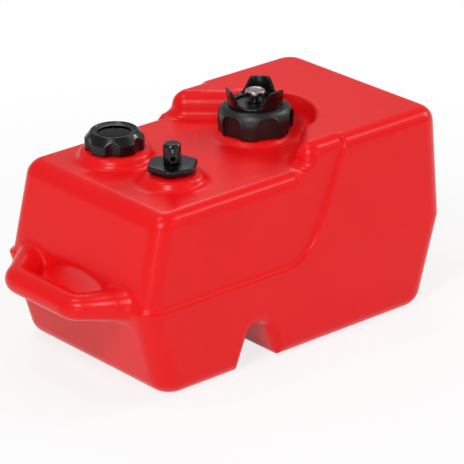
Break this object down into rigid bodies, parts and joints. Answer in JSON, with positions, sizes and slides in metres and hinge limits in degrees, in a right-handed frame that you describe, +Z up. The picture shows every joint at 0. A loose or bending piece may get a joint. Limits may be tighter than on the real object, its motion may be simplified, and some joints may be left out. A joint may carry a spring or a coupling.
{
  "type": "portable outboard fuel tank",
  "caption": "Portable moulded fuel tank with carrying loop, strap channel, vented screw cap in a round well, float gauge under a lobed bezel, and a swivelling hose elbow.",
  "frame": {"origin": "centre of the bounding box in plan, on the underside that the tank stands on", "axes": "+X from the carrying loop towards the raised filler end, +Y across the tank, +Z up"},
  "size_m": [0.4218, 0.2242, 0.2323],
  "materials": {
    "red_moulded_plastic": "satin, slightly pebbled",
    "black_textured_plastic": "fine matt grain",
    "black_plain_plastic": "smooth satin",
    "black_rubber": "matt",
    "nickel_plate": "bright, slightly worn",
    "clear_lens": "clear moulded lens",
    "dark_dial": "matt",
    "orange_pointer": "satin",
    "steel_strip": "drawn",
    "float_foam": "fine foam",
    "natural_plastic": "uncoloured"
  },
  "bodies": {
    "tank": {"tank_shell": "red_moulded_plastic", "gauge_bezel": "black_textured_plastic", "gauge_lens": "clear_lens", "gauge_housing": "black_plain_plastic", "gauge_gasket": "black_rubber", "gauge_dial": "dark_dial", "guide_rod_near": "steel_strip", "guide_rod_far": "steel_strip", "gauge_foot": "natural_plastic", "pickup_nut": "black_textured_plastic", "pickup_gasket": "black_rubber"},
    "cap_seal": {"filler_gasket": "black_rubber"},
    "cap": {"filler_cap": "black_textured_plastic", "filler_insert": "black_plain_plastic", "vent_guard": "black_plain_plastic"},
    "vent_lift_seal": {"vent_seal": "black_rubber"},
    "vent_screw": {"vent_knob": "nickel_plate", "vent_stem": "black_plain_plastic"},
    "float": {"gauge_float": "float_foam"},
    "pointer": {"gauge_pointer": "orange_pointer", "gauge_strip": "steel_strip"},
    "pickup": {"pickup_elbow": "black_plain_plastic", "pickup_tube": "natural_plastic", "pickup_strainer": "natural_plastic"}
  },
  "joints": [
    {"name": "filler_lift", "type": "slide", "parent": "tank", "child": "cap_seal", "axis": [0, 0, 1], "range_m": [0, 0.006]},
    {"name": "filler_turn", "type": "hinge", "parent": "cap_seal", "child": "cap", "pos_m": [0.06235, 0, 0.19], "axis": [0, 0, 1], "range_deg": [0, 360]},
    {"name": "vent_lift", "type": "slide", "parent": "cap", "child": "vent_lift_seal", "axis": [0, 0, 1], "range_m": [0, 0.002]},
    {"name": "vent_turn", "type": "hinge", "parent": "vent_lift_seal", "child": "vent_screw", "pos_m": [0.06235, 0, 0.215], "axis": [0, 0, 1], "range_deg": [0, 360]},
    {"name": "float_rise", "type": "slide", "parent": "tank", "child": "float", "axis": [0, 0, 1], "range_m": [0, 0.135]},
    {"name": "pointer_turn", "type": "hinge", "parent": "tank", "child": "pointer", "pos_m": [-0.07515, 0.0456, 0.1], "axis": [0, 0, 1], "range_deg": [-271, 1]},
    {"name": "pickup_swivel", "type": "hinge", "parent": "tank", "child": "pickup", "pos_m": [-0.07205, -0.038, 0.19], "axis": [0, 0, 1], "range_deg": [-150, 150]}
  ],
  "couplings": [
    {"joint": "filler_turn", "follows": "filler_lift", "rad_per_m": 1047.2},
    {"joint": "vent_turn", "follows": "vent_lift", "rad_per_m": 3141.6},
    {"joint": "pointer_turn", "follows": "float_rise", "rad_per_m": -34.907}
  ]
}
